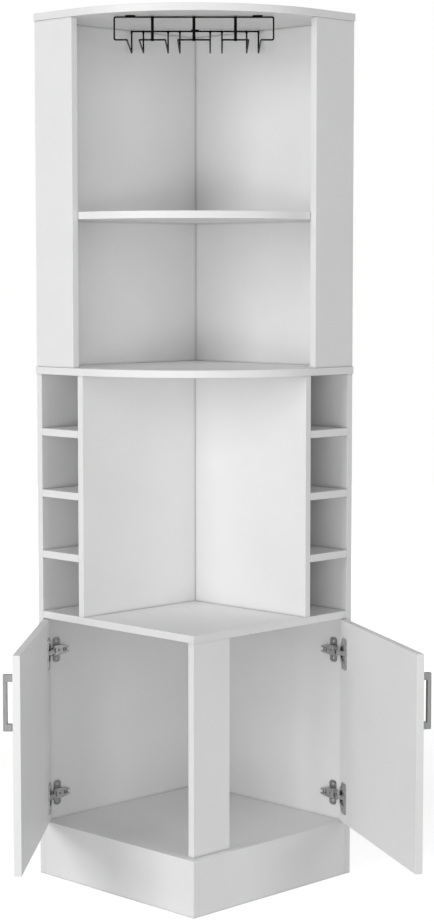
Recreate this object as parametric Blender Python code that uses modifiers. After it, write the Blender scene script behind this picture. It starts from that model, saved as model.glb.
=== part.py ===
# Corner bar cabinet: a quarter-round hutch over a bottle rack and a two-door cupboard.
# It stands in a room's corner. The origin is the floor under that corner, the front faces -Y.
# "Along" is the distance from the corner along a wall, "out" the distance out from that wall.

import math

import bmesh
import bpy
from mathutils import Matrix, Vector

# Carcass
HEIGHT = 1.800
WALL_WIDTH = 0.465  # from the room's corner to the front, the same on both walls
BOARD = 0.015
SEAM = 0.0003  # between pieces that touch
ARRIS = 0.0004  # the broken edge of a board
ARC_RADIUS = 0.350  # the rounded front corner of the top and middle boards
ARC_STEPS = 24
FRONT_OVERHANG = 0.003  # top and middle boards, past the fronts below them

# Levels, each the upper face of its board
PLINTH_HEIGHT = 0.115
WORKTOP_LEVEL = 0.564
MIDDLE_LEVEL = 1.076
HUTCH_SHELF_LEVEL = 1.394

# Hutch and bottle rack
HUTCH_SIDE_WIDTH = 0.115
BOTTLE_CELL_WIDTH = 0.113
BOTTLE_CELLS = 4

# Cupboard
STILE_WIDTH = 0.101
DOOR_GAP = 0.002
DOOR_TOP_GAP = 0.0025
DOOR_FOOT_GAP = 0.003
DOOR_ANGLES = {"left": 48.2, "right": 61.4}  # how far the doors stand open at rest

# Handle, one square bar bent twice
HANDLE_LENGTH = 0.110
HANDLE_LEG = 0.014
HANDLE_WIDTH = 0.010
HANDLE_GRIP = 0.008
HANDLE_REACH = 0.0205
HANDLE_FROM_EDGE = 0.0175
HANDLE_FROM_TOP = 0.0942
HANDLE_ROUNDING = 0.0008

# Concealed hinges
HINGE_FROM_TOP = 0.069
HINGE_FROM_FOOT = 0.0525
PIVOT_FROM_DOOR = 0.0028  # the turning axis, on the wall side of the door's edge
CUP_DIAMETER = 0.035
CUP_DEPTH = 0.0115
CUP_WALL = 0.0008
CUP_FROM_EDGE = 0.0225
CUP_SIDES = 32
FLANGE_HEIGHT = 0.065
FLANGE_WIDTH = 0.036
FLANGE_THICKNESS = 0.0018
FLANGE_NECK = 0.026  # the narrow side of the flange, beside the arm
FLANGE_SLOPE = 0.0127
FLANGE_CHAMFER = 0.003
HOUSING_SINK = 0.0005  # the spring housing fills the far half of the cup, just below its rim
LINK_WIDTH = 0.0094  # the link turns with the door, between the prongs of the arm's nose
LINK_BASE = 0.012
LINK_ANGLES = (50, 84)  # where the link curves, from the door's face line through the axis
NOSE_RADIUS = 0.0208  # the nose bends round the turning axis, clear of the cup's rim
NOSE_THICKNESS = 0.004
NOSE_HEIGHT = 0.018
NOSE_ANGLES = (18, 66)
NOSE_STEPS = 8
ARM_HEIGHT = 0.021
ARM_TAIL = 0.012  # its height at the slotted end
ARM_BACK = 0.062  # behind the cabinet's front
ARM_SHOULDER = 0.039  # from here back the arm narrows
ARM_FRONT = 0.018
ARM_RISE = 0.010
ARM_SKIN = 0.0015
ARM_SKIRT = 0.0012
FORK_DEPTH = 0.008  # the gap between the prongs, from the arm's front
ARM_WEB = 0.003  # closes the channel behind the fork
ARM_LIFT = 0.002  # the skirt stops above the wings
ARM_TAPER = 0.004
SLOT_LENGTH = 0.016  # the fork that slides under the fixing screw
SLOT_WIDTH = 0.006
WING_HEIGHT = 0.052
WING_WIDTH = 0.018
WING_BEHIND_FRONT = 0.035
WING_THICKNESS = 0.0015
WING_CORNER = 0.004
BOSS_BACK = 0.058
BOSS_FRONT = 0.030

# Glass rack of round wire, under the top board
RACK_WIDTH = 0.320
RACK_FRONT_GAP = 0.0874  # behind the top board's front, on the diagonal
RACK_REAR_GAP = 0.0144  # from the walls to the ends of the rear bar, on the diagonal
RACK_DROP = 0.045
WIRE_DIAMETER = 0.0034
STRUT_DIAMETER = 0.006
WIRE_BEND = 0.003
BEND_STEPS = 4
WIRE_ROUNDNESS = 3
STEM_GAP = 0.025
INNER_SLOT = 0.0447  # a slot's middle, from the rack's middle
OUTER_SLOT = 0.1223
TAB_THICKNESS = 0.002
TAB_DEPTH = 0.015
FRONT_TAB_WIDTH = 0.021
FRONT_TAB_FROM_END = 0.032
REAR_TAB_WIDTH = 0.017
TAB_STEPS = 6
WELD_DEPTH = 0.0005  # a tab into its wire
REAR_BAR_OVERHANG = 0.002

OVERRUN = 0.002  # cutters, past the face that they open
WELD = 0.00001
WALL_DIRECTION = -135  # the left wall's heading, in degrees from +X
SMOOTH_ANGLE = 35

FINISHES = {
    "melamine": ((0.80, 0.80, 0.80), 0.45, 0.0),
    "satin nickel": ((0.42, 0.42, 0.42), 0.38, 1.0),
    "zinc plate": ((0.50, 0.50, 0.50), 0.32, 1.0),
    "black wire": ((0.012, 0.012, 0.013), 0.40, 0.2),
}
SIDES = ("left", "right")
# A right-hand piece is its left-hand twin with the two walls swapped.
HANDED = {
    "left": Matrix.Identity(4),
    "right": Matrix(((0, 1, 0, 0), (1, 0, 0, 0), (0, 0, 1, 0), (0, 0, 0, 1))),
}
# An outline drawn in X and Y, stood up so that its thickness runs along the wall or out from it.
FACING_FRONT = Matrix(((0, 0, 1, 0), (1, 0, 0, 0), (0, 1, 0, 0), (0, 0, 0, 1)))
FACING_WALL = Matrix(((1, 0, 0, 0), (0, 0, -1, 0), (0, 1, 0, 0), (0, 0, 0, 1)))

# Worked out from the sizes above
inner = BOARD + SEAM
side_back = WALL_WIDTH - BOARD
niche_out = BOARD + BOTTLE_CELL_WIDTH
base_top = MIDDLE_LEVEL - BOARD
door_foot = PLINTH_HEIGHT + DOOR_FOOT_GAP
door_top = WORKTOP_LEVEL - BOARD - DOOR_TOP_GAP
door_width = WALL_WIDTH - 2 * (BOARD + DOOR_GAP)
pivot_out = BOARD + DOOR_GAP - PIVOT_FROM_DOOR
hinge_levels = {"lower": door_foot + HINGE_FROM_FOOT, "upper": door_top - HINGE_FROM_TOP}
diagonal = math.sqrt(2)
top_front = diagonal * (WALL_WIDTH + FRONT_OVERHANG - ARC_RADIUS) + ARC_RADIUS
rear_bar_end = OUTER_SLOT + STEM_GAP / 2 + REAR_BAR_OVERHANG
rack_rear = diagonal * BOARD + rear_bar_end + RACK_REAR_GAP + WIRE_DIAMETER / 2
rack_front = top_front - RACK_FRONT_GAP
rack_depth = rack_front - rack_rear


def clear_scene():
    for thing in list(bpy.data.objects):
        bpy.data.objects.remove(thing, do_unlink=True)


def new_collection(name):
    group = bpy.data.collections.new(name)
    bpy.context.scene.collection.children.link(group)
    return group


def finish_of(name, finish):
    colour, roughness, metallic = FINISHES[finish]
    material = bpy.data.materials.new(f"{name} {finish}")
    material.use_nodes = True
    shader = material.node_tree.nodes["Principled BSDF"]
    shader.inputs["Base Color"].default_value = (*colour, 1)
    shader.inputs["Roughness"].default_value = roughness
    shader.inputs["Metallic"].default_value = metallic
    material.diffuse_color = (*colour, 1)
    return material


def add_object(name, data, finish, parent, place=(0, 0, 0)):
    thing = bpy.data.objects.new(name, data)
    cabinet.objects.link(thing)
    thing.parent = parent
    thing.location = place
    data.materials.append(finish_of(name, finish))
    return thing


def add_empty(name, parent, place=(0, 0, 0), turn=0.0):
    empty = bpy.data.objects.new(name, None)
    cabinet.objects.link(empty)
    empty.parent = parent
    empty.location = place
    empty.rotation_euler.z = math.radians(turn)
    return empty


def break_edges(thing, width, segments=1):
    bevel = thing.modifiers.new("arris", "BEVEL")
    bevel.width = width
    bevel.segments = segments
    bevel.limit_method = "ANGLE"
    bevel.angle_limit = math.radians(SMOOTH_ANGLE)


# A box between the lows and highs of its three spans.
def cube_mesh(name, *spans):
    shape = bmesh.new()
    sizes = Vector([high - low for low, high in spans])
    middle = Vector([(high + low) / 2 for low, high in spans])
    stretch = Matrix.Translation(middle) @ Matrix.Diagonal((*sizes, 1))
    bmesh.ops.create_cube(shape, size=1, matrix=stretch)
    mesh = bpy.data.meshes.new(name)
    shape.to_mesh(mesh)
    shape.free()
    return mesh


# A board of the carcass, with its origin in its middle.
def board(name, side, along, out, up, parent):
    spans = (along, out, up)
    middle = Vector([(high + low) / 2 for low, high in spans])
    half = [(high - low) / 2 for low, high in spans]
    mesh = cube_mesh(name, *((-size, size) for size in half))
    turn_to_side(mesh, side)
    thing = add_object(name, mesh, "melamine", parent, HANDED[side] @ middle)
    break_edges(thing, ARRIS)
    return thing


def turn_to_side(mesh, side):
    mesh.transform(HANDED[side])
    if side == "right":
        mesh.flip_normals()


def evaluated_mesh(thing):
    bpy.context.view_layer.update()
    graph = bpy.context.evaluated_depsgraph_get()
    mesh = bpy.data.meshes.new_from_object(thing.evaluated_get(graph))
    mesh.transform(thing.matrix_world)
    shape = bmesh.new()
    shape.from_mesh(mesh)
    bmesh.ops.remove_doubles(shape, verts=shape.verts, dist=WELD)
    bmesh.ops.recalc_face_normals(shape, faces=shape.faces)
    shape.to_mesh(mesh)
    shape.free()
    return mesh


# A flat outline given its thickness, half of it on each side of the drawing's plane.
def slab_mesh(outline, thickness, stand=Matrix.Identity(4), shift=(0, 0, 0)):
    curve = bpy.data.curves.new("outline", "CURVE")
    curve.dimensions = "2D"
    curve.fill_mode = "BOTH"
    curve.extrude = thickness / 2
    spline = curve.splines.new("POLY")
    spline.use_cyclic_u = True
    spline.points.add(len(outline) - 1)
    for point, (x, y) in zip(spline.points, outline):
        point.co = (x, y, 0, 1)
    thing = bpy.data.objects.new("outline", curve)
    bpy.context.scene.collection.objects.link(thing)
    mesh = evaluated_mesh(thing)
    bpy.data.objects.remove(thing)
    mesh.transform(Matrix.Translation(shift) @ stand)
    return mesh


# The mesh after its unions and differences, each step an operation and a tool's mesh.
def shaped(mesh, *steps):
    tools = []
    body = bpy.data.objects.new("body", mesh)
    cutters.objects.link(body)
    for operation, tool_mesh in steps:
        tool = bpy.data.objects.new("tool", tool_mesh)
        cutters.objects.link(tool)
        tools.append(tool)
        step = body.modifiers.new(operation.lower(), "BOOLEAN")
        step.operation = operation
        step.solver = "EXACT"
        step.object = tool
    result = evaluated_mesh(body)
    for thing in [body, *tools]:
        bpy.data.objects.remove(thing)
    return result


def shade_round(mesh):
    mesh.shade_smooth()
    mesh.set_sharp_from_angle(angle=math.radians(SMOOTH_ANGLE))


# Points of an arc, its angles in degrees from the first axis towards the second.
def arc(centre, radius, start, end, steps):
    angles = [math.radians(start + (end - start) * step / steps) for step in range(steps + 1)]
    return [
        (centre[0] + radius * math.cos(angle), centre[1] + radius * math.sin(angle))
        for angle in angles
    ]


# A board that fills the corner, square at the wall side and rounded at the front.
def quarter_board(name, back, front, level, parent):
    centre = WALL_WIDTH + FRONT_OVERHANG - ARC_RADIUS
    rounding = arc((centre, centre), front - centre, 0, 90, ARC_STEPS)
    outline = [(back, back), (front, back), *rounding, (back, front)]
    mesh = slab_mesh(outline, BOARD)
    thing = add_object(name, mesh, "melamine", parent, (0, 0, level - BOARD / 2))
    break_edges(thing, ARRIS)


def make_hutch(corner):
    top_under = HEIGHT - BOARD
    height = (MIDDLE_LEVEL + SEAM, top_under - SEAM)
    overhung = WALL_WIDTH + FRONT_OVERHANG
    quarter_board("top_board", 0, overhung, HEIGHT, corner)
    quarter_board("middle_board", 0, overhung, MIDDLE_LEVEL, corner)
    quarter_board("hutch_shelf", inner, side_back - SEAM, HUTCH_SHELF_LEVEL, corner)
    for side in SIDES:
        start = 0 if side == "left" else inner
        board(f"hutch_wall_{side}", side, (start, side_back - SEAM), (0, BOARD), height, corner)
        board(
            f"hutch_side_{side}",
            side,
            (side_back, WALL_WIDTH),
            (0, HUTCH_SIDE_WIDTH),
            height,
            corner,
        )


def make_bottle_rack(corner):
    height = (WORKTOP_LEVEL + SEAM, base_top - SEAM)
    niche = (niche_out, niche_out + BOARD)
    clear = (base_top - WORKTOP_LEVEL - (BOTTLE_CELLS - 1) * BOARD) / BOTTLE_CELLS
    for side in SIDES:
        start = niche_out if side == "left" else niche_out + BOARD + SEAM
        board(f"niche_panel_{side}", side, (start, WALL_WIDTH), niche, height, corner)
        for number in range(1, BOTTLE_CELLS):
            foot = WORKTOP_LEVEL + number * clear + (number - 1) * BOARD
            board(
                f"bottle_shelf_{side}_{number}",
                side,
                (niche_out + BOARD + SEAM, WALL_WIDTH),
                (inner, niche_out - SEAM),
                (foot, foot + BOARD),
                corner,
            )


def make_base(corner):
    for side in SIDES:
        start = 0 if side == "left" else inner
        height = (0, base_top - SEAM)
        board(f"base_wall_{side}", side, (start, WALL_WIDTH), (0, BOARD), height, corner)
        end = WALL_WIDTH if side == "left" else side_back - SEAM
        board(
            f"plinth_{side}", side, (side_back, WALL_WIDTH), (inner, end), (0, PLINTH_HEIGHT), corner
        )
    inside = (inner, side_back - SEAM)
    board("bottom_board", "left", inside, inside, (PLINTH_HEIGHT - BOARD, PLINTH_HEIGHT), corner)
    full = (inner, WALL_WIDTH)
    board("worktop", "left", full, full, (WORKTOP_LEVEL - BOARD, WORKTOP_LEVEL), corner)
    stile_front = WALL_WIDTH - BOARD - DOOR_GAP
    board(
        "front_stile",
        "left",
        (stile_front - STILE_WIDTH, stile_front),
        (stile_front - BOARD, stile_front),
        (PLINTH_HEIGHT + SEAM, WORKTOP_LEVEL - BOARD - SEAM),
        corner,
    )


# A door in the closed pose, seen from its turning axis, which the pivot then swings open.
def make_door(side, pivot):
    edge = (PIVOT_FROM_DOOR, PIVOT_FROM_DOOR + door_width)
    door = board(f"door_{side}", side, (-BOARD, 0), edge, (door_foot, door_top), pivot)
    for level_name, level in hinge_levels.items():
        bore = bpy.data.objects.new(f"cup_bore_{side}_{level_name}", cup_bore_mesh(side))
        cutters.objects.link(bore)
        bore.parent = pivot
        bore.location = HANDED[side] @ Vector((0, PIVOT_FROM_DOOR + CUP_FROM_EDGE, level))
        bore.hide_render = True
        bore.display_type = "WIRE"
        cut = door.modifiers.new(f"cup bore {level_name}", "BOOLEAN")
        cut.operation = "DIFFERENCE"
        cut.solver = "EXACT"
        cut.object = bore


# A cylinder that lies along the wall, between two distances along it.
def cylinder_mesh(radius, low, high):
    shape = bmesh.new()
    lie = Matrix.Translation(((low + high) / 2, 0, 0)) @ Matrix.Rotation(math.radians(90), 4, "Y")
    bmesh.ops.create_cone(
        shape,
        cap_ends=True,
        segments=CUP_SIDES,
        radius1=radius,
        radius2=radius,
        depth=high - low,
        matrix=lie,
    )
    mesh = bpy.data.meshes.new("cylinder")
    shape.to_mesh(mesh)
    shape.free()
    return mesh


def cup_bore_mesh(side):
    mesh = cylinder_mesh(CUP_DIAMETER / 2 + SEAM, -BOARD - OVERRUN, -BOARD + CUP_DEPTH + SEAM)
    turn_to_side(mesh, side)
    return mesh


# The pressed cup with its screw flange and its link, about the cup's middle.
def hinge_cup_mesh():
    radius = CUP_DIAMETER / 2
    face = -BOARD - SEAM
    floor = -BOARD + CUP_DEPTH
    near = -FLANGE_WIDTH / 2
    far = FLANGE_WIDTH / 2
    half = FLANGE_HEIGHT / 2
    upper = [
        (far, half - FLANGE_CHAMFER),
        (far - FLANGE_CHAMFER, half),
        (near + FLANGE_SLOPE, half),
        (near, FLANGE_NECK / 2),
    ]
    outline = upper + [(x, -y) for x, y in reversed(upper)]
    flange = slab_mesh(
        outline, FLANGE_THICKNESS, FACING_FRONT, (face - FLANGE_THICKNESS / 2, 0, 0)
    )
    shell = cylinder_mesh(radius, face - FLANGE_THICKNESS / 2, floor)
    hollow = cylinder_mesh(radius - CUP_WALL, face - FLANGE_THICKNESS - OVERRUN, floor - CUP_WALL)
    axis = (0, -PIVOT_FROM_DOOR - CUP_FROM_EDGE)
    clear = NOSE_RADIUS + NOSE_THICKNESS + SEAM
    lid = -BOARD + HOUSING_SINK
    start, end = (90 + math.degrees(math.asin(-depth / clear)) for depth in (floor, lid))
    beyond = radius + OVERRUN
    curve = arc(axis, clear, start, end, NOSE_STEPS)
    housing = slab_mesh([*curve, (lid, beyond), (floor, beyond)], 2 * beyond)
    hollow = shaped(hollow, ("DIFFERENCE", housing))
    foot = floor - CUP_WALL / 2
    first, last = (90 + angle for angle in LINK_ANGLES)
    inside = arc(axis, NOSE_RADIUS, last, first, NOSE_STEPS)
    outside = arc(axis, NOSE_RADIUS + NOSE_THICKNESS, first, last, NOSE_STEPS)
    root = inside[-1][1]
    stem = [(foot, root), (foot, root + LINK_BASE), (face, root + LINK_BASE)]
    link = slab_mesh([*inside, *stem, *outside], LINK_WIDTH)
    return shaped(flange, ("UNION", shell), ("DIFFERENCE", hollow), ("UNION", link))


# A block with the arm's outline on the wall, or with one that keeps inside it.
def arm_outline_mesh(inset):
    half = ARM_HEIGHT / 2 - inset
    tail = ARM_TAIL / 2 - inset
    upper = [(OVERRUN, half), (-ARM_SHOULDER, half), (-ARM_BACK - OVERRUN, tail)]
    outline = upper + [(x, -y) for x, y in reversed(upper)]
    return slab_mesh(outline, WALL_WIDTH, FACING_WALL)


# The folded channel, slotted at the back, with the two-pronged nose that dips into the cup.
def hinge_arm_mesh():
    wall_face = BOARD - pivot_out
    top = wall_face + ARM_RISE
    skirt = wall_face + WING_THICKNESS + ARM_LIFT
    back = -ARM_BACK
    front = -ARM_FRONT
    side_view = [
        (back + ARM_TAPER, skirt),
        (front, skirt + ARM_TAPER),
        (front, top),
        (back, top),
        (back, top - ARM_SKIN),
    ]
    channel = cube_mesh(
        "channel",
        (back - OVERRUN, front - FORK_DEPTH - ARM_WEB),
        (skirt - OVERRUN, top - ARM_SKIN),
        (-ARM_HEIGHT, ARM_HEIGHT),
    )
    channel = shaped(channel, ("INTERSECT", arm_outline_mesh(ARM_SKIRT)))
    slot = cube_mesh(
        "slot",
        (back - OVERRUN, back + SLOT_LENGTH),
        (skirt - OVERRUN, top + OVERRUN),
        (-SLOT_WIDTH / 2, SLOT_WIDTH / 2),
    )
    tip, root = (90 + angle for angle in NOSE_ANGLES)
    inside = arc((0, 0), NOSE_RADIUS, tip, root, NOSE_STEPS)
    outside = arc((0, 0), NOSE_RADIUS + NOSE_THICKNESS, root, tip, NOSE_STEPS)
    nose = slab_mesh([*inside, *outside], NOSE_HEIGHT)
    half_fork = LINK_WIDTH / 2 + SEAM
    fork = cube_mesh(
        "fork", (front - FORK_DEPTH, OVERRUN), (0, WALL_WIDTH), (-half_fork, half_fork)
    )
    return shaped(
        slab_mesh(side_view, 2 * ARM_HEIGHT),
        ("INTERSECT", arm_outline_mesh(0)),
        ("DIFFERENCE", channel),
        ("DIFFERENCE", slot),
        ("UNION", nose),
        ("DIFFERENCE", fork),
    )


# The wings screwed to the wall board and the boss that the arm straddles.
def hinge_plate_mesh():
    wall_face = BOARD - pivot_out + SEAM
    boss_top = BOARD - pivot_out + ARM_RISE - ARM_SKIN - SEAM
    corner = WING_CORNER
    right = WING_WIDTH / 2
    half = WING_HEIGHT / 2
    quarter = [(right, half - corner), (right - corner, half)]
    quarter += [(-x, y) for x, y in reversed(quarter)]
    outline = quarter + [(x, -y) for x, y in reversed(quarter)]
    wings = slab_mesh(
        outline,
        WING_THICKNESS,
        FACING_WALL,
        (-WING_BEHIND_FRONT, wall_face + WING_THICKNESS / 2, 0),
    )
    boss = cube_mesh(
        "boss", (-BOSS_BACK, -BOSS_FRONT), (wall_face, boss_top), (-ARM_HEIGHT, ARM_HEIGHT)
    )
    return shaped(boss, ("INTERSECT", arm_outline_mesh(ARM_SKIRT + SEAM)), ("UNION", wings))


def make_hinges(side, corner, pivot):
    axis = Vector((WALL_WIDTH, pivot_out, 0))
    cup_middle = Vector((0, PIVOT_FROM_DOOR + CUP_FROM_EDGE, 0))
    pieces = (
        ("hinge_cup", hinge_cup_mesh, pivot, cup_middle),
        ("hinge_arm", hinge_arm_mesh, corner, axis),
        ("hinge_plate", hinge_plate_mesh, corner, axis),
    )
    for level_name, level in hinge_levels.items():
        for name, make_mesh, parent, place in pieces:
            mesh = make_mesh()
            turn_to_side(mesh, side)
            shade_round(mesh)
            lifted = HANDED[side] @ (place + Vector((0, 0, level)))
            add_object(f"{name}_{side}_{level_name}", mesh, "zinc plate", parent, lifted)


# A bent square bar, its legs on the door's outer face.
def make_handle(side, pivot):
    half = HANDLE_LENGTH / 2
    reach = HANDLE_REACH
    grip_inside = reach - HANDLE_GRIP
    outline = [
        (SEAM, -half),
        (reach, -half),
        (reach, half),
        (SEAM, half),
        (SEAM, half - HANDLE_LEG),
        (grip_inside, half - HANDLE_LEG),
        (grip_inside, HANDLE_LEG - half),
        (SEAM, HANDLE_LEG - half),
    ]
    mesh = slab_mesh(outline, HANDLE_WIDTH, FACING_WALL)
    turn_to_side(mesh, side)
    out = PIVOT_FROM_DOOR + door_width - HANDLE_FROM_EDGE
    place = HANDED[side] @ Vector((0, out, door_top - HANDLE_FROM_TOP))
    handle = add_object(f"handle_{side}", mesh, "satin nickel", pivot, place)
    break_edges(handle, HANDLE_ROUNDING, 2)


# The corners of a wire that turns square, with each corner rounded.
def bent_path(corners):
    points = [Vector(corner) for corner in corners]
    path = [points[0]]
    for before, corner, after in zip(points, points[1:], points[2:]):
        back = (before - corner).normalized() * WIRE_BEND
        ahead = (after - corner).normalized() * WIRE_BEND
        for step in range(BEND_STEPS + 1):
            angle = math.radians(90) * step / BEND_STEPS
            path.append(corner + back * (1 - math.sin(angle)) + ahead * (1 - math.cos(angle)))
    return [*path, points[-1]]


def wire_curve(name, corners, diameter):
    curve = bpy.data.curves.new(name, "CURVE")
    curve.dimensions = "3D"
    curve.bevel_depth = diameter / 2
    curve.bevel_resolution = WIRE_ROUNDNESS
    curve.use_fill_caps = True
    path = bent_path(corners)
    spline = curve.splines.new("POLY")
    spline.points.add(len(path) - 1)
    for point, place in zip(spline.points, path):
        point.co = (*place, 1)
    return curve


# A wire with its flat screw tabs, rounded at both ends, welded on.
def add_tabbed_wire(name, corners, tabs, parent):
    thing = bpy.data.objects.new(name, wire_curve(name, corners, WIRE_DIAMETER))
    bpy.context.scene.collection.objects.link(thing)
    mesh = evaluated_mesh(thing)
    bpy.data.objects.remove(thing)
    radius = TAB_DEPTH / 2
    steps = []
    for x, y, width in tabs:
        straight = width / 2 - radius
        outline = arc((straight, 0), radius, -90, 90, TAB_STEPS)
        outline += arc((-straight, 0), radius, 90, 270, TAB_STEPS)
        tab = slab_mesh(outline, TAB_THICKNESS, shift=(x, y, -TAB_THICKNESS / 2))
        steps.append(("UNION", tab))
    mesh = shaped(mesh, *steps)
    shade_round(mesh)
    add_object(name, mesh, "black wire", parent)


# Wires in the rack's own frame: its middle, its front bar and the top board's underside.
def make_glass_rack():
    rack = add_empty("glass_rack", None, (0, -rack_front, HEIGHT - BOARD - SEAM))
    radius = WIRE_DIAMETER / 2
    upper = WELD_DEPTH - TAB_THICKNESS - radius
    lower = upper - RACK_DROP
    end = RACK_WIDTH / 2
    rear_bar_foot = upper - radius - SEAM
    rails = [slot + sign * STEM_GAP / 2 for slot in (INNER_SLOT, OUTER_SLOT) for sign in (-1, 1)]

    def rail(x):
        return [(x, rack_depth, rear_bar_foot), (x, rack_depth, lower), (x, 0, lower)]

    half_front = [*rail(rails[3]), (end, 0, lower), (end, 0, upper)]
    front = [*half_front, *((-x, y, z) for x, y, z in reversed(half_front))]
    tab_middle = end - FRONT_TAB_FROM_END
    front_tabs = [(x, 0, FRONT_TAB_WIDTH) for x in (-tab_middle, tab_middle)]
    add_tabbed_wire("rack_front_wire", front, front_tabs, rack)
    rear_bar = [(-rear_bar_end, rack_depth, upper), (rear_bar_end, rack_depth, upper)]
    add_tabbed_wire("rack_rear_bar", rear_bar, [(0, rack_depth, REAR_TAB_WIDTH)], rack)

    # Each guide carries two glasses' feet, and a strut hangs its front from the upper wire.
    beside = radius + SEAM + STRUT_DIAMETER / 2
    guides = {
        "left": (-rails[2], -rails[1]),
        "middle": (-rails[0], rails[0]),
        "right": (rails[1], rails[2]),
    }
    for name, (first, last) in guides.items():
        middle = (first + last) / 2
        strut = [(middle, beside, lower - radius), (middle, beside, upper + radius)]
        for kind, corners, diameter in (
            ("guide", [*rail(first), *reversed(rail(last))], WIRE_DIAMETER),
            ("strut", strut, STRUT_DIAMETER),
        ):
            wire = f"rack_{kind}_{name}"
            add_object(wire, wire_curve(wire, corners, diameter), "black wire", rack)


def make_cabinet():
    corner = add_empty("room_corner", None, turn=WALL_DIRECTION)
    make_hutch(corner)
    make_bottle_rack(corner)
    make_base(corner)
    for side in SIDES:
        swing = -DOOR_ANGLES[side] if side == "left" else DOOR_ANGLES[side]
        place = HANDED[side] @ Vector((WALL_WIDTH, pivot_out, 0))
        pivot = add_empty(f"door_pivot_{side}", corner, place, swing)
        make_door(side, pivot)
        make_hinges(side, corner, pivot)
        make_handle(side, pivot)
    make_glass_rack()


clear_scene()
cabinet = new_collection("corner_bar_cabinet")
cutters = new_collection("cutters")
make_cabinet()
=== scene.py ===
# Corner bar cabinet: the looks of every board, wire and hinge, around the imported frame.
import math

import bmesh
import bpy
from mathutils import Matrix, Vector


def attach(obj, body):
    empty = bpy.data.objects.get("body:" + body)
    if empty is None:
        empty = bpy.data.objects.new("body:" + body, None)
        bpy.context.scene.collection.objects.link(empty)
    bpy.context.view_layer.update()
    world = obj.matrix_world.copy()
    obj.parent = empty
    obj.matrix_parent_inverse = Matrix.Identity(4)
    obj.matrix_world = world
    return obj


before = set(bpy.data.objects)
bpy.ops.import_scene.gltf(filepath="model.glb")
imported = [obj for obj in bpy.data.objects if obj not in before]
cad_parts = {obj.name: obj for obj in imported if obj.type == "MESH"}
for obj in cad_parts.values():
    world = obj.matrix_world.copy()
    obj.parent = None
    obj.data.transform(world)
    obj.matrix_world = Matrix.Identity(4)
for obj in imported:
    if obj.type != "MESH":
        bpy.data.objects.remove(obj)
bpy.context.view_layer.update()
mm = 0.001
print("frame loaded:", len(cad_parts), "nodes")

# Camera and studio, in metres
view = {
    "place": (0.0406, -4.7797, 1.2688),  # where the photograph was taken from
    "pitch": -5.0,  # degrees above the horizon
    "yaw": 0.076,  # degrees to the right
    "lens": 83.53,  # mm, on a frame 36 mm high
    "sensor": 36,
}
studio = {
    "skyLevel": 0.203,  # light from all round
    "floorSize": 16.0,
    "floorDrop": 0.0005,  # so that the floor doesn't share a plane with the feet of the boards
    "floorHex": "#E6E6E6",
    "floorGlow": 0.66,  # what the camera adds to the floor, so that it reads as white paper
    "glowReach": (1.0, 3.0),  # from here to there the glow rises to full white
    "lampAim": (0.0, -0.35, 0.95),
    "lamps": {
        "leftSoftbox": {"place": (-3.2, -3.6, 2.3), "size": (2.2, 2.6), "watts": 91},
        "rightSoftbox": {"place": (3.2, -3.6, 2.0), "size": (2.2, 2.6), "watts": 40},
        "frontBank": {"place": (0.3, -5.6, 2.2), "size": (3.0, 2.0), "watts": 12},
        "topBank": {"place": (0.0, -2.2, 4.6), "size": (2.5, 2.5), "watts": 4.8},
        "lowBank": {"place": (-1.0, -5.0, 0.5), "size": (2.5, 0.8), "watts": 44},
        "leftRear": {"place": (-3.2, 3.0, 0.33), "size": (2.4, 0.6), "watts": 45},
        "rightRear": {"place": (3.2, 3.0, 0.33), "size": (2.4, 0.6), "watts": 45},
    },
}
white = (1, 1, 1, 1)


def hexColour(text):
    def linear(level):
        return level / 12.92 if level <= 0.04045 else ((level + 0.055) / 1.055) ** 2.4

    parts = [int(text[i:i + 2], 16) / 255 for i in (1, 3, 5)]
    return (*map(linear, parts), 1)


def addNode(tree, kind, settings=None, links=None):
    node = tree.nodes.new(kind)
    for key, value in (settings or {}).items():
        if isinstance(key, int) or key in node.inputs:
            node.inputs[key].default_value = value
        else:
            setattr(node, key, value)
    for key, socket in (links or {}).items():
        tree.links.new(socket, node.inputs[key])
    return node


def emptyMaterial(name):
    material = bpy.data.materials.new(name)
    material.use_nodes = True
    material.node_tree.nodes.clear()
    return material, material.node_tree


def mottle(tree, spacing, detail, stretch=(1, 1, 1)):
    # an uneven pattern, whose lumps lie a spacing in mm apart on the real thing
    place = addNode(tree, "ShaderNodeTexCoord").outputs["Object"]
    place = addNode(
        tree, "ShaderNodeMapping", {"Scale": stretch}, {"Vector": place}
    ).outputs["Vector"]
    return addNode(
        tree, "ShaderNodeTexNoise",
        {"Scale": 1 / (spacing * mm), "Detail": detail}, {"Vector": place},
    ).outputs["Fac"]


edgeFinder = {
    "rays": 4,
    "cosines": (0.75, 0.99),  # of the angle between rounded and true normal, at an edge and off it
}


def edgeMask(tree, radius):
    # 0 on flat faces, up to 1 along edges, where the rounded normal leaves the true one
    rounded = addNode(
        tree, "ShaderNodeBevel", {"samples": edgeFinder["rays"], "Radius": radius * mm}
    )
    true = addNode(tree, "ShaderNodeNewGeometry")
    dot = addNode(
        tree, "ShaderNodeVectorMath", {"operation": "DOT_PRODUCT"},
        {0: rounded.outputs["Normal"], 1: true.outputs["Normal"]},
    ).outputs["Value"]
    edge, flat = edgeFinder["cosines"]
    return addNode(
        tree, "ShaderNodeMapRange",
        {"From Min": edge, "From Max": flat, "To Min": 1.0, "To Max": 0.0}, {"Value": dot},
    ).outputs["Result"]


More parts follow.
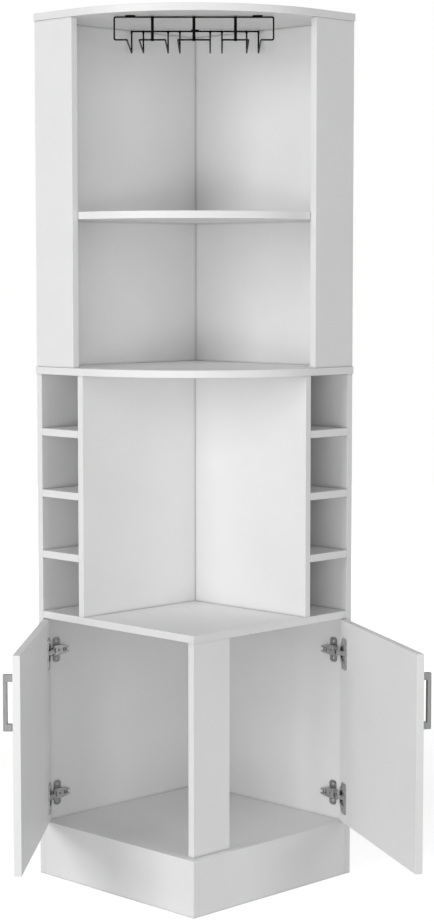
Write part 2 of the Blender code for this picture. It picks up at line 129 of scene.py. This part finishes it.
def layColours(tree, base, layers):
    # A layer is a pattern, the part of it that counts, how far the layer covers what lies below at
    # both ends of that part, and its colour. Mix has three sockets of a name, so they go by number.
    links = {}
    for pattern, (start, end), (low, high), over in layers:
        links[0] = addNode(
            tree, "ShaderNodeMapRange",
            {"From Min": start, "From Max": end, "To Min": low, "To Max": high},
            {"Value": pattern},
        ).outputs["Result"]
        settings = {"data_type": "RGBA", 6: hexColour(base), 7: hexColour(over)}
        links = {6: addNode(tree, "ShaderNodeMix", settings, links).outputs[2]}
    return links[6]


def shadeSurface(tree, values, settings, colour, gloss, height):
    # gloss is a pattern, the part of it that counts, and the roughness at both ends of that part
    pattern, (start, end), (low, high) = gloss
    roughness = addNode(
        tree, "ShaderNodeMapRange",
        {"From Min": start, "From Max": end, "To Min": low, "To Max": high}, {"Value": pattern},
    ).outputs["Result"]
    bump = addNode(
        tree, "ShaderNodeBump",
        {"Strength": values["bumpStrength"], "Distance": values["bumpDepth"] * mm},
        {"Height": height},
    )
    shader = addNode(
        tree, "ShaderNodeBsdfPrincipled", settings,
        {"Base Color": colour, "Roughness": roughness, "Normal": bump.outputs["Normal"]},
    )
    addNode(tree, "ShaderNodeOutputMaterial", links={"Surface": shader.outputs["BSDF"]})


# In the materials a spacing, depth, radius or reach is in mm. A range is the part of a pattern
# that counts, and a share is how much of a layer's colour shows where it is strongest.
whole = (0, 1)

# White melamine paper pressed on particle board: the press plate leaves a fine pearl texture,
# so the eye sees a clean, even white whose highlights are soft and slightly broken.
melamine = {
    "sheetHex": "#EDEDED",
    "cloudHex": "#E9E9E9",  # slow unevenness of the paper
    "cloudSpacing": 160,
    "cloudRange": (0.3, 0.7),
    "speckHex": "#DEDEDE",  # pores of the press plate, drawn coarser than they are, so as to show
    "speckSpacing": 2.4,
    "speckRange": (0.64, 0.76),
    "speckShare": 0.5,
    "edgeWearAndHighlightHex": "#F2F2F2",  # lighter along the edges: glued edging polished where the arris is broken, and a painted highlight
    "edgeRadius": 0.8,
    "edgeShare": 0.7,
    "jointDustAndShadeHex": "#D0D0D0",  # painted shade in the corners where one board meets another, with the dust of the open joint
    "jointShadeReach": 6,
    "jointShadeRays": 4,
    "jointShadeRange": (0.5, 0.95),
    "pearlSpacing": 1.1,
    "pearlRange": (0.3, 0.7),
    "bumpDepth": 0.03,
    "bumpStrength": 0.25,
    "roughnessRange": (0.40, 0.50),
    "ior": 1.5,
}


def pressedMelamine():
    values = melamine
    material, tree = emptyMaterial("pressedMelamine")
    cloud = mottle(tree, values["cloudSpacing"], detail=3.0)
    pearl = mottle(tree, values["pearlSpacing"], detail=3.0)
    speck = mottle(tree, values["speckSpacing"], detail=4.0)
    # painted highlight, with polish: the colour lightens along every edge
    edge = edgeMask(tree, values["edgeRadius"])
    # painted shade: ambient occlusion darkens the colour within a few mm of every inner corner and
    # joint
    clear = addNode(
        tree, "ShaderNodeAmbientOcclusion",
        {"samples": values["jointShadeRays"], "Distance": values["jointShadeReach"] * mm},
    ).outputs["AO"]
    colour = layColours(tree, values["sheetHex"], [
        (cloud, values["cloudRange"], whole, values["cloudHex"]),
        (speck, values["speckRange"], (0, values["speckShare"]), values["speckHex"]),
        (edge, whole, (0, values["edgeShare"]), values["edgeWearAndHighlightHex"]),
        (clear, values["jointShadeRange"], (1, 0), values["jointDustAndShadeHex"]),
    ])
    gloss = (pearl, values["pearlRange"], values["roughnessRange"])
    shadeSurface(tree, values, {"IOR": values["ior"]}, colour, gloss, pearl)
    return material


# Zinc die casting, brushed and plated with satin nickel: grey, with a soft streak along the bar.
nickel = {
    "plateHex": "#949494",
    "streakHex": "#838383",
    "streakSpacing": 0.9,  # the brush's lines, drawn coarser than they are, so as to show
    "streakStretch": (1, 1, 0.03),  # the brush ran up and down the bar
    "streakRange": (0.35, 0.65),
    # lighter along the edges: polish from handling, and a painted highlight
    "edgeWearAndHighlightHex": "#A8A8A8",
    "edgeRadius": 1.0,
    "edgeShare": 0.6,
    "bumpDepth": 0.02,
    "bumpStrength": 0.2,
    "roughnessRange": (0.60, 0.72),
    "glossRange": (0.3, 0.7),
}


def brushedNickel():
    values = nickel
    material, tree = emptyMaterial("brushedNickel")
    streak = mottle(tree, values["streakSpacing"], detail=4.0, stretch=values["streakStretch"])
    # painted highlight, with polish: the colour lightens along the edges
    edge = edgeMask(tree, values["edgeRadius"])
    colour = layColours(tree, values["plateHex"], [
        (streak, values["streakRange"], whole, values["streakHex"]),
        (edge, whole, (0, values["edgeShare"]), values["edgeWearAndHighlightHex"]),
    ])
    gloss = (streak, values["glossRange"], values["roughnessRange"])
    shadeSurface(tree, values, {"Metallic": 1.0}, colour, gloss, streak)
    return material


# Pressed sheet steel under bright nickel, and the duller zinc of the mounting plates and the arms'
# screws: a soft haze breaks up the mirror, and the edges are darker, as bare cut steel and as
# painted shade.
hingeMetal = {
    "finishes": {  # main colour, haze, and the roughness between them
        "brightNickel": ("#C8C8C8", "#AEAEAE", (0.26, 0.42)),
        "dullZinc": ("#A4A4A4", "#8E8E8E", (0.36, 0.50)),
    },
    "hazeSpacing": 9,
    "hazeRange": (0.3, 0.7),
    # darker along the edges: the bare steel of the cuts, and painted shade
    "cutEdgeAndShadeHex": "#3C3C3C",
    "edgeRadius": 0.8,
    "edgeShare": 0.9,
    "scratchSpacing": 0.5,  # drawn coarser than they are, so as to show
    "scratchStretch": (1, 1, 0.1),
    "bumpDepth": 0.01,
    "bumpStrength": 0.15,
}


def platedMetal(name):
    values = hingeMetal
    plateHex, hazeHex, roughnessRange = values["finishes"][name]
    material, tree = emptyMaterial(name)
    haze = mottle(tree, values["hazeSpacing"], detail=3.0)
    scratch = mottle(tree, values["scratchSpacing"], detail=2.0, stretch=values["scratchStretch"])
    # painted shade, with the bare cut steel: the colour darkens along every edge
    edge = edgeMask(tree, values["edgeRadius"])
    colour = layColours(tree, plateHex, [
        (haze, values["hazeRange"], whole, hazeHex),
        (edge, whole, (0, values["edgeShare"]), values["cutEdgeAndShadeHex"]),
    ])
    gloss = (haze, values["hazeRange"], roughnessRange)
    shadeSurface(tree, values, {"Metallic": 1.0}, colour, gloss, scratch)
    return material


# Round steel wire under a baked black powder coat: slight orange peel, and places rubbed paler.
rackCoat = {
    "coatHex": "#020202",
    "peelHex": "#050505",
    "peelSpacing": 1.6,
    "peelRange": (0.35, 0.65),
    "rubHex": "#0C0C0C",
    "rubSpacing": 26,
    "rubRange": (0.6, 0.75),
    "rubShare": 0.6,
    "bumpDepth": 0.04,
    "bumpStrength": 0.3,
    "roughnessRange": (0.45, 0.54),
    "gloss": 0.04,
    "ior": 1.5,
}


def powderCoatedWire():
    values = rackCoat
    material, tree = emptyMaterial("powderCoatedWire")
    peel = mottle(tree, values["peelSpacing"], detail=2.0)
    rub = mottle(tree, values["rubSpacing"], detail=5.0)
    colour = layColours(tree, values["coatHex"], [
        (peel, values["peelRange"], whole, values["peelHex"]),
        (rub, values["rubRange"], (0, values["rubShare"]), values["rubHex"]),
    ])
    gloss = (rub, values["rubRange"], values["roughnessRange"])
    settings = {"IOR": values["ior"], "Specular IOR Level": values["gloss"]}
    shadeSurface(tree, values, settings, colour, gloss, peel)
    return material


def seenOrMirrored(tree):
    # 1 for the rays that show the white room: straight from the camera, or off metal and gloss
    path = addNode(tree, "ShaderNodeLightPath").outputs
    seen = path["Is Camera Ray"]
    for ray in ("Is Glossy Ray", "Is Transmission Ray"):
        seen = addNode(
            tree, "ShaderNodeMath", {"operation": "MAXIMUM"}, {0: seen, 1: path[ray]}
        ).outputs[0]
    return seen


# Matt white paper: the eye sees one plain white, with a faint shadow about the cabinet's foot.
def paperFloor():
    material, tree = emptyMaterial("paperFloor")
    material.cycles.emission_sampling = "NONE"  # the glow is no lamp
    seen = seenOrMirrored(tree)
    place = addNode(tree, "ShaderNodeTexCoord").outputs["Object"]
    away = addNode(
        tree, "ShaderNodeVectorMath", {"operation": "LENGTH"}, {0: place}
    ).outputs["Value"]
    near, far = studio["glowReach"]
    level = addNode(
        tree, "ShaderNodeMapRange",
        {"From Min": near, "From Max": far, "To Min": studio["floorGlow"]}, {"Value": away},
    ).outputs["Result"]
    strength = addNode(
        tree, "ShaderNodeMath", {"operation": "MULTIPLY"}, {0: seen, 1: level}
    ).outputs[0]
    paper = addNode(tree, "ShaderNodeBsdfDiffuse", {"Color": hexColour(studio["floorHex"])})
    glow = addNode(tree, "ShaderNodeEmission", {"Color": white}, {"Strength": strength})
    both = addNode(tree, "ShaderNodeAddShader", links={0: paper.outputs[0], 1: glow.outputs[0]})
    addNode(tree, "ShaderNodeOutputMaterial", links={"Surface": both.outputs[0]})
    return material


def paperWorld():
    world = bpy.data.worlds.new("paperWorld")
    world.use_nodes = True
    tree = world.node_tree
    tree.nodes.clear()
    world.cycles.sampling_method = "NONE"  # so that a mirroring ray finds the white room
    strength = addNode(
        tree, "ShaderNodeMapRange", {"To Min": studio["skyLevel"]}, {"Value": seenOrMirrored(tree)}
    ).outputs["Result"]
    light = addNode(tree, "ShaderNodeBackground", {"Color": white}, {"Strength": strength})
    addNode(tree, "ShaderNodeOutputWorld", links={"Surface": light.outputs[0]})
    bpy.context.scene.world = world


def placeCamera():
    camera = bpy.data.objects.new("camera", bpy.data.cameras.new("camera"))
    camera.data.lens = view["lens"]
    camera.data.sensor_width = view["sensor"]
    camera.data.sensor_fit = "AUTO"
    camera.location = view["place"]
    camera.rotation_euler = (math.radians(90 + view["pitch"]), 0, math.radians(-view["yaw"]))
    bpy.context.scene.collection.objects.link(camera)
    bpy.context.scene.camera = camera


def lightStudio():
    aim = Vector(studio["lampAim"])
    for name, values in studio["lamps"].items():
        lamp = bpy.data.lights.new(name, "AREA")
        lamp.shape = "RECTANGLE"
        lamp.size, lamp.size_y = values["size"]
        lamp.energy = values["watts"]
        holder = bpy.data.objects.new(name, lamp)
        holder.location = values["place"]
        holder.rotation_euler = (aim - holder.location).to_track_quat("-Z", "Y").to_euler()
        bpy.context.scene.collection.objects.link(holder)


def layFloor():
    shape = bmesh.new()
    bmesh.ops.create_grid(shape, x_segments=1, y_segments=1, size=studio["floorSize"] / 2)
    mesh = bpy.data.meshes.new("studioFloor")
    shape.to_mesh(mesh)
    shape.free()
    floor = bpy.data.objects.new("studioFloor", mesh)
    bpy.context.scene.collection.objects.link(floor)
    floor.location.z = -studio["floorDrop"]
    mesh.materials.append(paperFloor())


placeCamera()
paperWorld()
lightStudio()
layFloor()
bpy.context.scene.view_settings.view_transform = "Standard"
print("studio set")


def dressNodes():
    finishes = {
        "board": pressedMelamine(),
        "handle": brushedNickel(),
        "hinge": platedMetal("brightNickel"),
        "hinge_plate": platedMetal("dullZinc"),
        "rack": powderCoatedWire(),
    }
    for name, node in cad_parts.items():
        kinds = [kind for kind in finishes if name.startswith(kind)]  # the closest comes last
        node.data.materials.clear()
        node.data.materials.append(finishes[kinds[-1] if kinds else "board"])
    return finishes


# Places in the cabinet's own terms, in mm: along a wall from the corner of the room, out from that
# wall, and up. On a door, along and out are told from its turning axis, with the door shut.
cabinet = {
    "axisAlong": 465,
    "axisOut": 14.2,
    "doorAngles": {"left": 48.2, "right": 61.4},  # degrees open at rest
    "hingeLevels": {"lower": 170.5, "upper": 477.5},
}


def spot(side, along, out, up):
    # both walls run at 45 degrees to the camera's view
    sign = -1 if side == "left" else 1
    return Vector((sign * (along - out), -(along + out), up * math.sqrt(2))) * mm / math.sqrt(2)


def doorSpot(side, along, out, up):
    turn = math.radians(cabinet["doorAngles"][side])
    return spot(
        side,
        cabinet["axisAlong"] + along * math.cos(turn) + out * math.sin(turn),
        cabinet["axisOut"] - along * math.sin(turn) + out * math.cos(turn),
        up,
    )


def bothWays(distance):
    return (-distance, distance)


def turned(profile, steps):
    # a profile of radius and height in mm, turned on a lathe and closed at its foot
    shape = bmesh.new()
    rings = []
    for radius, height in profile:
        angles = [2 * math.pi * step / steps for step in range(steps if radius else 1)]
        points = [(radius * math.cos(a), radius * math.sin(a), height) for a in angles]
        rings.append([shape.verts.new(Vector(point) * mm) for point in points])
    for low, high in zip(rings, rings[1:]):
        for step in range(steps):
            after = (step + 1) % steps
            corners = [low[step], low[after], high[after % len(high)], high[step % len(high)]]
            shape.faces.new(list(dict.fromkeys(corners)))
    shape.faces.new(reversed(rings[0]))
    return shape


def meshFrom(shape, name):
    bmesh.ops.recalc_face_normals(shape, faces=shape.faces)
    mesh = bpy.data.meshes.new(name)
    shape.to_mesh(mesh)
    shape.free()
    return mesh


def cutAway(mesh, tool):
    body = bpy.data.objects.new("body", mesh)
    knife = bpy.data.objects.new("knife", tool)
    for thing in (body, knife):
        bpy.context.scene.collection.objects.link(thing)
    cut = body.modifiers.new("cut", "BOOLEAN")
    cut.operation = "DIFFERENCE"
    cut.solver = "EXACT"
    cut.object = knife
    cut.use_self = True  # the two arms of the cross overlap
    bpy.context.view_layer.update()
    cutBody = body.evaluated_get(bpy.context.evaluated_depsgraph_get())
    result = bpy.data.meshes.new_from_object(cutBody)
    for thing in (body, knife):
        bpy.data.objects.remove(thing)
    return result


# Screw heads: a low dome with a pressed cross, in the sizes that hinges and racks are fixed with.
screws = {
    "heads": {  # radius and rise in mm
        "cup": (3.6, 1.5),
        "plate": (3.4, 1.6),
        "fixing": (3.9, 2.0),
        "adjuster": (2.8, 0.7),
        "rack": (2.7, 1.4),
    },
    "rim": 0.35,  # the upright rim under the dome, as a share of the rise
    "rings": (0.35, 0.7, 1.05, 1.35),  # radians, up the dome
    "steps": 32,
    "cross": (0.30, 0.95, 0.85),  # width and length by the radius, and depth by the rise
}


def screwHead(kind):
    radius, rise = screws["heads"][kind]
    width, length, depth = screws["cross"]
    rim = screws["rim"]
    profile = [(radius, 0), (radius, rise * rim)]
    for angle in screws["rings"]:
        height = rise * (rim + (1 - rim) * math.sin(angle))
        profile.append((radius * math.cos(angle), height))
    head = meshFrom(turned([*profile, (0, rise)], screws["steps"]), kind)
    shape = bmesh.new()
    for turn in (0, math.pi / 2):
        place = Matrix.Translation((0, 0, rise * mm)) @ Matrix.Rotation(turn, 4, "Z")
        sizes = (length * radius * mm, width * radius * mm, 2 * depth * rise * mm, 1)
        bmesh.ops.create_cube(shape, size=1, matrix=place @ Matrix.Diagonal(sizes))
    return cutAway(head, meshFrom(shape, "cross"))


sharpAngle = 35  # degrees between two faces, above which the edge isn't smoothed


def fixed(name, parts, material, body):
    # one piece out of several meshes, each set on a point, facing a direction and rolled about it
    joined = bmesh.new()
    for mesh, point, facing, roll in parts:
        copy = mesh.copy()
        turn = facing.to_track_quat("Z", "Y").to_matrix().to_4x4() @ Matrix.Rotation(roll, 4, "Z")
        copy.transform(Matrix.Translation(point) @ turn)
        joined.from_mesh(copy)
        bpy.data.meshes.remove(copy)
    mesh = bpy.data.meshes.new(name)
    joined.to_mesh(mesh)
    joined.free()
    mesh.shade_smooth()
    mesh.set_sharp_from_angle(angle=math.radians(sharpAngle))
    mesh.materials.append(material)
    piece = bpy.data.objects.new(name, mesh)
    bpy.context.scene.collection.objects.link(piece)
    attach(piece, body)


# Each hinge: two screws in the cup's flange, the cheeks of the spring housing in the cup's open
# half, two screws in the plate's wings, the arm's two screws, and the ends of the link's pin.
# Sizes are in mm. The rolls are in radians, and differ so that no two crosses stand alike.
hingeParts = {
    "cupOut": 25.3,  # the cup's middle, from the door's axis
    "cupFace": -17.1,
    "cupSpread": 24,
    "cupRoll": 0.4,
    "cheekFace": -14.3,
    "cheekDeep": 4.5,
    "cheekRadius": 16.2,
    "cheekInside": 9.7,  # above this the cheek clears the prongs of the arm's nose
    "cheekEdge": 5.2,
    "cheekSteps": 10,
    "cheekBevel": 0.6,
    "cheekBevelSteps": 3,
    "wingAlong": 430,
    "wingFace": 16.8,
    "wingSpread": 17.5,
    "wingRoll": 0.7,
    "armFace": 25.0,
    "armScrews": {"fixing": (413.5, 0.2), "adjuster": (431, 0.9)},  # along the wall, and roll
    "pinAlong": 455.0,
    "pinOut": 34.7,
    "pinSpread": 9,
    "pinHead": [(1.5, 0), (1.5, 0.25), (1.1, 0.55), (0, 0.65)],
    "pinSteps": 20,
}


def housingCheeks():
    # two rounded corners about the cup's middle, above and below the link
    values = hingeParts
    radius, inside, edge = values["cheekRadius"], values["cheekInside"], values["cheekEdge"]
    first, last = math.asin(inside / radius), math.acos(edge / radius)
    steps = values["cheekSteps"]
    angles = [first + (last - first) * step / steps for step in range(steps + 1)]
    outline = [(-edge, inside)] + [(-radius * math.cos(a), radius * math.sin(a)) for a in angles]
    shape = bmesh.new()
    for sign in (-1, 1):
        foot = -values["cheekDeep"]
        lower = [shape.verts.new(Vector((x, sign * y, foot)) * mm) for x, y in outline]
        upper = [shape.verts.new(Vector((x, sign * y, 0)) * mm) for x, y in outline]
        shape.faces.new(lower)
        top = shape.faces.new(upper)
        for index in range(len(outline)):
            after = (index + 1) % len(outline)
            shape.faces.new((lower[index], lower[after], upper[after], upper[index]))
        bmesh.ops.bevel(
            shape, geom=list(top.edges), offset=values["cheekBevel"] * mm,
            segments=values["cheekBevelSteps"], affect="EDGES",
        )
    return meshFrom(shape, "cheeks")


def addHingeParts(nickel, zinc):
    values = hingeParts
    cheeks = housingCheeks()
    heads = {kind: screwHead(kind) for kind in ("cup", "plate", "fixing", "adjuster")}
    pin = meshFrom(turned(values["pinHead"], values["pinSteps"]), "pinHead")
    up = Vector((0, 0, 1))
    for side in ("left", "right"):
        door = f"{side}_door"
        outward = spot(side, 0, 1, 0).normalized()
        inward = (doorSpot(side, -1, 0, 0) - doorSpot(side, 0, 0, 0)).normalized()
        cheekTurn = math.pi if side == "left" else 0  # towards the hinged edge of the door
        for name, level in cabinet["hingeLevels"].items():
            cup = []
            for z in bothWays(values["cupSpread"]):  # z also rolls each cross its own way
                point = doorSpot(side, values["cupFace"], values["cupOut"], level + z)
                cup.append((heads["cup"], point, inward, values["cupRoll"] + z))
            fixed(f"cupScrews_{side}_{name}", cup, nickel, door)
            middle = doorSpot(side, values["cheekFace"], values["cupOut"], level)
            housing = [(cheeks, middle, inward, cheekTurn)]
            fixed(f"cupCheeks_{side}_{name}", housing, nickel, door)
            plate = []
            for z in bothWays(values["wingSpread"]):
                point = spot(side, values["wingAlong"], values["wingFace"], level + z)
                plate.append((heads["plate"], point, outward, values["wingRoll"] + z))
            for z in bothWays(values["pinSpread"]):
                point = spot(side, values["pinAlong"], values["pinOut"], level + z)
                plate.append((pin, point, up * z, 0))
            fixed(f"plateScrews_{side}_{name}", plate, nickel, "carcass")
            arm = [
                (heads[kind], spot(side, along, values["armFace"], level), outward, roll)
                for kind, (along, roll) in values["armScrews"].items()
            ]
            fixed(f"armScrews_{side}_{name}", arm, zinc, "carcass")


# The rack's three screws, and a bead of weld wherever two of its wires cross. All in mm.
rackParts = {
    "frontY": -429.5,
    "rearY": -174.1,
    "tabFoot": 1782.7,
    "frontTabX": 128,
    "screwBeside": 4.5,
    "screwRoll": 0.5,  # radians
    "upperWire": 1781.5,
    "lowerWire": 1736.5,
    "strutX": 83.5,
    "strutBehind": 1.9,
    "railX": (32.2, 57.2, 109.8, 134.8),
    "railBelow": 1.6,
    "bead": [(1.3, -3.6), (2.1, -2.8), (2.5, 0), (2.1, 2.8), (1.3, 3.6), (0, 3.8)],
    "beadSteps": 16,
}


def addRackParts(coat):
    values = rackParts
    head = screwHead("rack")
    down = Vector((0, 0, -1))
    frontY = values["frontY"] + values["screwBeside"]
    places = [(x, frontY) for x in bothWays(values["frontTabX"])]
    places.append((0, values["rearY"] - values["screwBeside"]))
    heads = []
    for x, y in places:
        point = Vector((x, y, values["tabFoot"])) * mm
        heads.append((head, point, down, values["screwRoll"] + x))
    fixed("rackScrews", heads, coat, "carcass")
    bead = meshFrom(turned(values["bead"], values["beadSteps"]), "bead")
    sideways = Vector((1, 0, 0))
    strutY = values["frontY"] + values["strutBehind"]
    beads = [
        (bead, Vector((x, strutY, z)) * mm, sideways, 0)
        for x in (-values["strutX"], 0, values["strutX"])
        for z in (values["upperWire"], values["lowerWire"])
    ]
    railZ = values["upperWire"] - values["railBelow"]
    beads += [
        (bead, Vector((sign * x, values["rearY"], railZ)) * mm, down, 0)
        for x in values["railX"] for sign in (-1, 1)
    ]
    fixed("rackWelds", beads, coat, "carcass")


finishes = dressNodes()
print("materials made:", ", ".join(material.name for material in finishes.values()))
addHingeParts(finishes["hinge"], finishes["hinge_plate"])
addRackParts(finishes["rack"])
print("screws, pins, cheeks and welds added")
